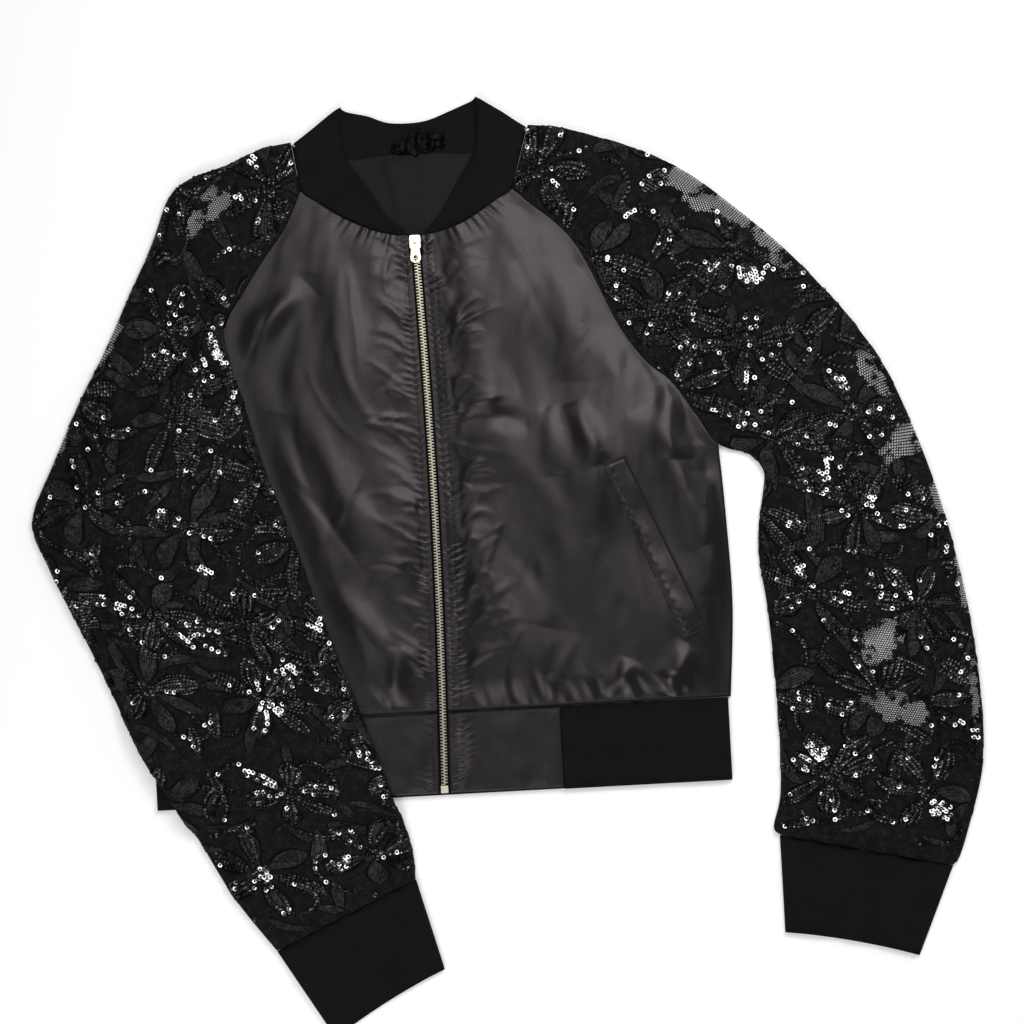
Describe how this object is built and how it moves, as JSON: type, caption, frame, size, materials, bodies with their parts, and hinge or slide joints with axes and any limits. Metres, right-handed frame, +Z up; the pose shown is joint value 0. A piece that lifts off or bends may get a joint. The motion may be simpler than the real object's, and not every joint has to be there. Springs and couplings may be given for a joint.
{
  "type": "bomber jacket laid flat",
  "caption": "Cropped satin bomber jacket lying flat, with sequinned net raglan sleeves, rib collar, cuffs and hem, slanted pocket welts and a metal front zip.",
  "frame": {"origin": "middle of the underside of the whole garment's box, on the surface it lies on", "axes": "+Z up from the surface, +Y up along the zip towards the collar, +X to the viewer's right"},
  "size_m": [0.7682, 0.7642, 0.0216],
  "materials": {
    "satin": "satin weave, soft broad sheen",
    "lining": "plain smooth lining",
    "sequin_net": "hexagonal net with corded and sequinned flowers",
    "rib_knit": "matt fine rib",
    "zip_metal": "polished pale gold",
    "zip_tape": "matt woven tape",
    "neck_tab": "matt woven tab, blank"
  },
  "bodies": {
    "garment": {"back_panel": "satin", "lining_back_neck": "lining", "front_left": "satin", "front_right": "satin", "sleeve_left": "sequin_net", "sleeve_right": "sequin_net", "collar_rib": "rib_knit", "cuff_left": "rib_knit", "cuff_right": "rib_knit", "hem_rib": "rib_knit", "hem_satin_left": "satin", "hem_satin_right": "satin", "welt_left": "satin", "welt_right": "satin", "neck_tab": "neck_tab", "zip_tape_left": "zip_tape", "zip_tape_right": "zip_tape", "zip_chain": "zip_metal", "zip_box": "zip_metal", "zip_slider": "zip_metal"},
    "pull_tab": {"zip_pull_tab": "zip_metal"}
  },
  "joints": [
    {"name": "pull_tab_swing", "type": "hinge", "parent": "garment", "child": "pull_tab", "pos_m": [-0.05875, 0.26555, 0.0102], "axis": [-1, 0, 0], "range_deg": [0, 150]}
  ]
}
